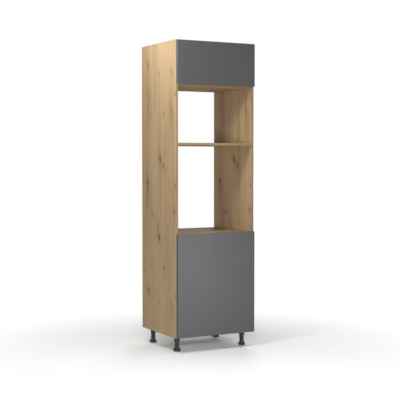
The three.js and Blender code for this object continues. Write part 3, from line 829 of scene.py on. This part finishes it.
class OVENUNIT_OT_finish_boards(bpy.types.Operator):
    """Oak decor, graphite lacquer and hardboard on the boards"""

    bl_idname = "oven_unit.finish_boards"
    bl_label = "Finish boards"

    def execute(self, context):
        upright = oak_material("Oak uprights", "Z", SIDE_KNOTS, (0, 0, 0), specular=0.22)
        for node in OAK_UPRIGHTS:
            paint(node, upright)
        for number, node in enumerate(OAK_LEVELS):
            shift = np.array(LEVEL_SHIFT_STEP) * number + LEVEL_SHIFT_START
            knots, backed = level_knots(number), node == "bottom_panel"
            paint(node, oak_material(f"Oak {node}", "X", knots, shift.tolist(), backed=backed))
        graphite = graphite_material()
        paint("door", graphite)
        paint("flap", graphite)
        hardboard = hardboard_material()
        for node in ("upper_back_panel", "lower_back_panel"):
            paint(node, hardboard)
        return {"FINISHED"}


class OVENUNIT_OT_finish_fittings(bpy.types.Operator):
    """Plating and plastics of the hinges, pins, latches and brackets"""

    bl_idname = "oven_unit.finish_fittings"
    bl_label = "Finish fittings"

    def execute(self, context):
        for hinge in HINGES:
            paint(f"{hinge}_hinge_cup", kept("Nickel"))
            paint(f"{hinge}_hinge_arm", kept("Nickel"))
            paint(f"{hinge}_hinge_plate", kept("Zinc"))
        for corner in CORNERS:
            paint(f"shelf_pin_{corner}", kept("Nickel"))
        for front in ("door", "flap"):
            paint(f"{front}_latch_housing", kept("Grey plastic"))
        for side in ("left", "right"):
            paint(f"wall_bracket_{side}", kept("Zinc"))
        return {"FINISHED"}


class OVENUNIT_OT_edge_bands(bpy.types.Operator):
    """Edge bands on the front edges of the oak boards"""

    bl_idname = "oven_unit.edge_bands"
    bl_label = "Edge bands"

    def execute(self, context):
        depth = context.scene.board_finishes.band_thickness
        oaks = {
            name: oak_material(f"Oak band {name}", along, knots, shift, False, shade)
            for name, along, knots, shift, shade in EDGE_BANDS
        }
        for node in OAK_UPRIGHTS + OAK_LEVELS:
            low, high, middle = span(node)
            if node in OAK_UPRIGHTS:
                start, end = (middle.x, low.y, low.z), (middle.x, low.y, high.z)
                across, width, oak = (1, 0, 0), high.x - low.x, oaks["upright"]
            else:
                start, end = (low.x, low.y, middle.z), (high.x, low.y, middle.z)
                across, width = (0, 0, 1), high.z - low.z
                # The niche top panel's band gets the darker material: a painted shadow of the flap over
                # it.
                oak = oaks["painted_flap_shadow" if node == "niche_top_panel" else "level"]
            band = bar_along(start, end, across, width, FORWARD, depth, 0.6 * depth)
            add_piece(f"edge_band_{node}", band, oak, "carcass")
        return {"FINISHED"}


def carved_shell(rows, base, points, depth):
    """A turned shell on a base height, with a depth at each angle carved off its radius.

    Each row is (radius, height, share): lengths in millimetres, and the share of the depth.
    """
    rows = np.array(rows)
    return shell(turned_rings(rows[:, :2] * MM + (0, base), points, -rows[:, 2:] * depth))


def socket_shell(low, high, settings):
    """A leg socket: a tube with webs under a square plate with rounded corners.

    The outer radius at angle t goes from the tube, plus a narrow swelling at each web, to the
    plate's outline half / (|cos t|^8 + |sin t|^8)^(1/8).
    """
    half, top = (high.x - low.x) / 2 / MM, (high.z - low.z) / MM
    under = top - SOCKET_PLATE_THICKNESS / MM
    tube, bore, web_reach, web_edge, web_fade, squareness = 19, 15.8, 5.5, 0.72, 0.2, 8
    # Radius and height in millimetres, share of the webs, share of the plate's outline.
    rows = [
        (bore, 24, 0, 0),
        (bore, 1, 0, 0),
        (bore + 0.8, 0, 0, 0),
        (tube - 0.9, 0, 0, 0),
        (tube, 0.9, 0, 0),
        (tube, 3.2, 0, 0),
        (tube - 0.9, 3.6, 0, 0),
        (tube - 0.9, 8, 0, 0),
        (tube - 0.9, 14, 0.35, 0),
        (tube - 0.6, under - 2, 1, 0),
        (tube, under, 1, 0),
        (half - 1.2, under, 0, 1),
        (half, under + 0.8, 0, 1),
        (half, top - 0.5, 0, 1),
        (half - 0.5, top, 0, 1),
    ]
    radius, height, webs, plate = np.array(rows).T[:, :, None]
    points = 16 * settings.gusset_count
    angle = round_angles(points)
    web = np.clip((np.cos(settings.gusset_count * angle) - web_edge) / web_fade, 0, 1)
    square = np.abs(np.cos(angle)) ** squareness + np.abs(np.sin(angle)) ** squareness
    outer = (radius + webs * web_reach * web) * (1 - plate + plate * square ** (-1 / squareness))
    profile = np.hstack([radius, height]) * MM + (0, low.z)
    return shell(turned_rings(profile, points, (outer - radius) * MM))


def column_shell(low, high, settings):
    """A leg column: a tube with shallow flutes between two plain collars.

    The radius at angle t is R - f (1 - cos(n t)) / 2 between the collars.
    """
    radius, top = (high.x - low.x) / 2 / MM, (high.z - low.z) / MM
    # Radius and height in millimetres, and the share of the flutes' depth.
    rows = [
        (7, 0.3, 0),
        (radius - 1.2, 0, 0),
        (radius, 1.2, 0),
        (radius, 7, 0),
        (radius - 0.3, 7.8, 0.6),
        (radius - 0.2, 10, 1),
        (radius - 0.2, 41, 1),
        (radius - 0.1, 43.5, 0),
        (radius, 44.5, 0),
        (radius, top - 1, 0),
        (radius - 1, top, 0),
    ]
    points = 12 * settings.rib_count
    flute = (1 - np.cos(settings.rib_count * round_angles(points))) / 2
    return carved_shell(rows, low.z, points, settings.rib_depth * flute)


def foot_shell(low, high, settings):
    """A screwed foot: a thick disc with finger notches, a short neck and a threaded rod.

    The disc's radius at angle t is R - g max(0, cos(n t))^2.
    """
    radius, top = (high.x - low.x) / 2 / MM, (high.z - low.z) / MM
    disc, neck, neck_top, thread = 20, 13.5, 20.8, 6
    # Radius and height in millimetres, and the share of the notches' depth.
    rows = [
        (radius - 4, 0.4, 0),
        (radius - 3.4, 0, 0),
        (radius - 1.2, 0, 0.2),
        (radius - 0.3, 0.6, 0.8),
        (radius, 1.6, 1),
        (radius, disc - 2.6, 1),
        (radius - 0.5, disc - 1.2, 0.9),
        (radius - 1.6, disc - 0.3, 0.3),
        (radius - 3, disc, 0),
        (neck + 2, disc, 0),
        (neck + 0.5, disc + 0.2, 0),
        (neck, neck_top - 0.2, 0),
        (neck - 0.3, neck_top, 0),
        (thread, neck_top, 0),
        (thread, top - 1, 0),
        (thread - 1, top, 0),
    ]
    points = 10 * settings.grip_count
    notch = np.clip(np.cos(settings.grip_count * round_angles(points)), 0, 1) ** 2
    return carved_shell(rows, low.z, points, settings.grip_depth * notch)


LEG_PARTS = {"leg_socket": socket_shell, "leg_column": column_shell, "leg_foot": foot_shell}


class OVENUNIT_OT_adjustable_legs(bpy.types.Operator):
    """Moulded sockets, fluted columns and notched feet of the four legs"""

    bl_idname = "oven_unit.adjustable_legs"
    bl_label = "Adjustable legs"

    def execute(self, context):
        settings = context.scene.leg_sizes
        plastic = plastic_material("Leg plastic", settings.plastic, 0.45, specular=0.25)
        for corner in CORNERS:
            for part, make in LEG_PARTS.items():
                node = f"{part}_{corner}"
                low, high, middle = span(node)
                body = f"foot_{corner}" if part == "leg_foot" else "carcass"
                shape = placed(make(low, high, settings), (middle.x, middle.y, 0))
                piece = add_piece(f"moulded_{node}", shape, plastic, body)
                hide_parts(node)
            _, high, middle = span(f"leg_socket_{corner}")
            places = [
                (middle.x + x, middle.y + y, high.z - SOCKET_PLATE_THICKNESS)
                for x in (-SOCKET_SCREW_REACH, SOCKET_SCREW_REACH)
                for y in (-SOCKET_SCREW_REACH, SOCKET_SCREW_REACH)
            ]
            add_screws(f"socket_screws_{corner}", screw(), places, (0, 0, -1))
        return {"FINISHED"}


def reach(node, direction):
    """The middle of a CAD node, and how far it goes from there along one of the axes."""
    low, high, middle = span(node)
    return np.array(middle), float(np.abs(np.array(high - low) / 2 @ direction))


class OVENUNIT_OT_hinge_screws(bpy.types.Operator):
    """Screws of the hinge cups, arms and plates"""

    bl_idname = "oven_unit.hinge_screws"
    bl_label = "Hinge screws"

    def execute(self, context):
        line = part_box("side_panel_left")[0].y + PLATE_LINE
        forward = np.array(FORWARD)
        cup_screw = screw(wider=0.85, taller=0.8)
        set_screw = screw_head(SET_SCREW_RADIUS, SET_SCREW_HEIGHT, points=24)
        for hinge in HINGES:
            body = hinge.split("_")[0]
            across, along = (np.array(axis) for axis in HINGE_AXES[body])
            both_ways = np.array([-along, along])
            middle, out = reach(f"{hinge}_hinge_cup", forward)
            places = middle - forward * out + both_ways * CUP_EAR_REACH
            add_screws(f"{hinge}_cup_screws", cup_screw, places, -forward, body)

            plate, thick = reach(f"{hinge}_hinge_plate", across)
            wing = plate + across * (PLATE_WING_THICKNESS - thick)
            wing[1] = line
            places = wing + both_ways * PLATE_WING_REACH
            add_screws(f"{hinge}_plate_screws", screw(), places, across)

            tail = plate + across * (thick + ARM_THICKNESS)
            places = [(tail[0], line + behind, tail[2]) for behind in ARM_SCREW_LINES]
            add_screws(f"{hinge}_arm_screws", set_screw, places, across)
        return {"FINISHED"}


class OVENUNIT_OT_connector_caps(bpy.types.Operator):
    """Cover caps over the connectors of the fixed boards, on their hidden faces"""

    bl_idname = "oven_unit.connector_caps"
    bl_label = "Connector caps"

    def execute(self, context):
        fittings = context.scene.fitting_sizes
        cap = button(fittings.cap_radius, fittings.cap_height, CAP_DISH)
        beige = kept("Cap plastic")
        for node in FIXED_LEVELS:
            low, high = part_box(node)
            up = node in ("niche_top_panel", "bottom_panel")
            places = [
                (x, y, high.z if up else low.z)
                for x in (low.x + fittings.cap_inset, high.x - fittings.cap_inset)
                for y in (low.y + CAP_FRONT_INSET, high.y - CAP_BACK_INSET)
            ]
            normal = (0, 0, 1 if up else -1)
            add_copies(f"cover_caps_{node}", cap, places, normal, beige, "carcass")
        return {"FINISHED"}


class OVENUNIT_OT_latch_details(bpy.types.Operator):
    """Collars and screws of the latches, and round-nosed plungers"""

    bl_idname = "oven_unit.latch_details"
    bl_label = "Latch details"

    def execute(self, context):
        grey, white = kept("Grey plastic"), kept("White plastic")
        ring = open_ring(turned_rings(np.array(LATCH_COLLAR + LATCH_COLLAR[:1]) * MM, 40))
        for front, outward in (("door", -1), ("flap", 1)):
            low, high, middle = span(f"{front}_latch_housing")
            collar = placed(ring, (middle.x, low.y, middle.z), FORWARD)
            add_piece(f"{front}_latch_collar", collar, grey, "carcass")
            face = high.z if outward > 0 else low.z
            lines = (low.y + LATCH_SCREW_INSET, high.y - LATCH_SCREW_INSET)
            places = [(middle.x, line, face) for line in lines]
            add_screws(f"{front}_latch_screws", screw(wider=0.9), places, (0, 0, outward))

            low, high, middle = span(f"{front}_latch_plunger")
            radius, length = (high.x - low.x) / 2, high.y - low.y
            profile = [
                (radius - PLUNGER_CHAMFER, -length),
                (radius, PLUNGER_CHAMFER - length),
                (radius, -PLUNGER_NOSE),
                *quarter_round(radius, 0, PLUNGER_NOSE, 6),
            ]
            nose = shell(turned_rings(profile, 40))
            nose = placed(nose, (middle.x, low.y, middle.z), FORWARD)
            body = f"{front}_plunger"
            piece = add_piece(f"{front}_latch_pin", nose, white, body)
            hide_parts(f"{front}_latch_plunger")
        return {"FINISHED"}


class OVENUNIT_OT_bumpers(bpy.types.Operator):
    """Soft bumpers behind the free corners of the door and the flap"""

    bl_idname = "oven_unit.bumpers"
    bl_label = "Bumpers"

    def execute(self, context):
        fittings = context.scene.fitting_sizes
        pad = button(fittings.bumper_radius, fittings.bumper_height)
        left = span("side_panel_left")[2].x
        low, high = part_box("door")
        heights = (low.z + DOOR_BUMPER_LOW, high.z - DOOR_BUMPER_HIGH)
        places = {"door": [(left, high.y, height) for height in heights]}
        low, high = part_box("flap")
        places["flap"] = [(x, high.y, low.z + FLAP_BUMPER_LOW) for x in (left, -left)]
        soft = bumper_material()
        for front in places:
            name, slot = f"{front}_bumpers", "white_plastic"
            add_copies(name, pad, places[front], (0, 1, 0), soft, front)
        return {"FINISHED"}


class OVENUNIT_OT_bracket_screws(bpy.types.Operator):
    """Screws that hold the wall brackets to the top panel"""

    bl_idname = "oven_unit.bracket_screws"
    bl_label = "Bracket screws"

    def execute(self, context):
        for side in ("left", "right"):
            _, high, middle = span(f"wall_bracket_{side}")
            places = [(middle.x, middle.y, high.z - BRACKET_THICKNESS)]
            head = screw(wider=1.25, taller=1.3)
            add_screws(f"bracket_screw_{side}", head, places, (0, 0, -1))
        return {"FINISHED"}


# ---- studio


def sees_background(tree):
    """1 for rays from the camera, from mirrors and through glass, else 0."""
    path = add_node(tree, "LightPath").outputs
    first = calc(tree, "MAXIMUM", path["Is Camera Ray"], path["Is Glossy Ray"])
    return calc(tree, "MAXIMUM", first, path["Is Transmission Ray"])


def floor_material(colour):
    """Matt pale floor that turns into plain white far from the unit."""
    material, tree = start_material("Floor", 0.75, specular=0.1)
    shader = tree.nodes["Principled BSDF"]
    place = object_place(tree)
    speckle = noise(tree, place, 40.0, 2)
    shade = blend_colour(tree, speckle, toned(colour, 0.995), colour)
    tree.links.new(shade, shader.inputs["Base Color"])
    distance = on_vectors(tree, "LENGTH", place)["Value"]
    far = spread(tree, distance, FLOOR_GREY_UP_TO, FLOOR_WHITE_FROM)
    far = calc(tree, "MULTIPLY", far, sees_background(tree))
    white = add_node(tree, "Emission", {"Color": (1, 1, 1, 1), "Strength": 1.0})
    mix_surface(tree, far, shader, white, tree.nodes["Material Output"])
    return material


def add_floor(colour):
    """A level disc: radius grows with the square of the row, so it is finer in the middle."""
    rows, points = FLOOR_GRID
    radius = FLOOR_RADIUS * np.linspace(0.02, 1, rows) ** 2
    grid = turned_rings(np.stack([radius, 0 * radius], axis=-1), points)
    faces = ring_faces(rows, points)[:, ::-1].tolist()
    middle = [[rows * points, column, (column + 1) % points] for column in range(points)]
    part = np.concatenate([grid.reshape(-1, 3), [[0, 0, 0]]]), faces + middle
    linked("floor", new_mesh("floor", part, floor_material(colour)))


# The floor's size and its rings and points, and how far from the origin it starts to turn
# into plain white and has turned into it, in metres.
FLOOR_RADIUS, FLOOR_GRID = 60, (24, 96)
FLOOR_GREY_UP_TO, FLOOR_WHITE_FROM = 0.5, 1.55

# Each lamp: its place, the point it is aimed at, its width and height, its power in watts and
# how wide it spreads, in degrees.
LAMPS = {
    "Key panel": ((-1.27, -0.8, 2.3), (0.0, 0.0, 1.2), (0.24, 0.24), 12.6, 180),
    "Front accent": ((-0.9, -0.8, 2.25), (0.0, -0.1, 2.05), (0.35, 0.35), 1.9, 100),
    "Side accent": ((-0.75, 0.05, 2.35), (-0.25, 0.0, 1.9), (0.4, 0.3), 1.5, 120),
    "Side panel": ((-3.2, -1.2, 1.6), (0.0, 0.0, 1.2), (0.8, 0.8), 11.8, 180),
    "Front panel": ((-1.6, -3.2, 1.05), (0.0, 0.0, 1.1), (0.8, 0.8), 91.0, 180),
    "Front strip": ((1.1, -3.6, 0.25), (0.0, -0.28, 0.5), (0.5, 0.4), 31.0, 180),
    "Top panel": ((0.0, -0.6, 4.4), (0.0, 0.0, 0.0), (3.0, 3.0), 91.0, 180),
    "Back panel": ((2.5, 3.5, 2.5), (0.0, 0.0, 1.0), (1.7, 1.7), 84.0, 180),
    "Rear panel": ((-1.0, 3.0, 2.6), (0.2, 0.2, 1.6), (1.2, 1.2), 8.0, 180),
}


def add_lamp(name, place, target, size, power, spread_degrees):
    """A rectangular soft lamp at a place, aimed at a target."""
    data = bpy.data.lights.new(name, "AREA")
    data.shape = "RECTANGLE"
    data.size, data.size_y = size
    data.energy = power
    data.spread = math.radians(spread_degrees)
    lamp = linked(name, data)
    lamp.visible_camera = False
    lamp.location = place
    lamp.rotation_euler = (Vector(target) - Vector(place)).to_track_quat("-Z", "Y").to_euler()


def add_world(ambient):
    """Even light from all round; the camera, mirrors and glass see plain white."""
    world = bpy.data.worlds.new("Studio")
    world.use_nodes = True
    tree = world.node_tree
    tree.nodes.clear()
    light = add_node(tree, "Background", {"Color": (1, 1, 1, 1), "Strength": ambient})
    white = add_node(tree, "Background", {"Color": (1, 1, 1, 1), "Strength": 1.0})
    mix_surface(tree, sees_background(tree), light, white, add_node(tree, "OutputWorld"))
    bpy.context.scene.world = world


def add_camera(stage):
    """The camera at the photograph's place, angle and lens."""
    data = bpy.data.cameras.new("Camera")
    data.sensor_width = 36.0
    data.lens = stage.camera_lens
    camera = linked("Camera", data)
    aim = (
        Matrix.Rotation(-stage.camera_yaw, 4, "Z")
        @ Matrix.Rotation(math.pi / 2 - stage.camera_pitch, 4, "X")
        @ Matrix.Rotation(stage.camera_roll, 4, "Z")
    )
    camera.matrix_world = Matrix.Translation(stage.camera_place) @ aim
    bpy.context.scene.camera = camera


class OVENUNIT_OT_stage(bpy.types.Operator):
    """White studio: floor, even surroundings, soft lamps and the camera"""

    bl_idname = "oven_unit.stage"
    bl_label = "Studio"

    def execute(self, context):
        stage = context.scene.stage_settings
        add_floor(stage.floor)
        for name, values in LAMPS.items():
            add_lamp(name, *values)
        add_world(stage.ambient)
        add_camera(stage)
        context.scene.view_settings.view_transform = "Standard"
        return {"FINISHED"}


OPERATORS = (
    OVENUNIT_OT_finish_boards,
    OVENUNIT_OT_finish_fittings,
    OVENUNIT_OT_edge_bands,
    OVENUNIT_OT_adjustable_legs,
    OVENUNIT_OT_hinge_screws,
    OVENUNIT_OT_connector_caps,
    OVENUNIT_OT_latch_details,
    OVENUNIT_OT_bumpers,
    OVENUNIT_OT_bracket_screws,
    OVENUNIT_OT_stage,
)


class OVENUNIT_PT_panel(bpy.types.Panel):
    """Lists the steps and their sizes"""

    bl_idname = "OVENUNIT_PT_panel"
    bl_label = "Tall oven housing unit"
    bl_space_type = "VIEW_3D"
    bl_region_type = "UI"
    bl_category = "Oven Unit"

    def draw(self, context):
        for group in GROUPS:
            box = self.layout.box()
            box.label(text=group.__doc__)
            settings = getattr(context.scene, GROUPS[group])
            for key in group.__annotations__:
                box.prop(settings, key)
        for operator in OPERATORS:
            self.layout.operator(operator.bl_idname)


GROUPS = {
    BoardFinishes: "board_finishes",
    FittingSizes: "fitting_sizes",
    LegSizes: "leg_sizes",
    StageSettings: "stage_settings",
}


def register():
    for group, name in GROUPS.items():
        bpy.utils.register_class(group)
        setattr(bpy.types.Scene, name, PointerProperty(type=group))
    for part in (*OPERATORS, OVENUNIT_PT_panel):
        bpy.utils.register_class(part)


def unregister():
    for part in reversed((*OPERATORS, OVENUNIT_PT_panel)):
        bpy.utils.unregister_class(part)
    for group, name in reversed(GROUPS.items()):
        delattr(bpy.types.Scene, name)
        bpy.utils.unregister_class(group)


def main():
    register()
    for operator in OPERATORS:
        family, step = operator.bl_idname.split(".")
        getattr(getattr(bpy.ops, family), step)()


if __name__ == "__main__":
    main()
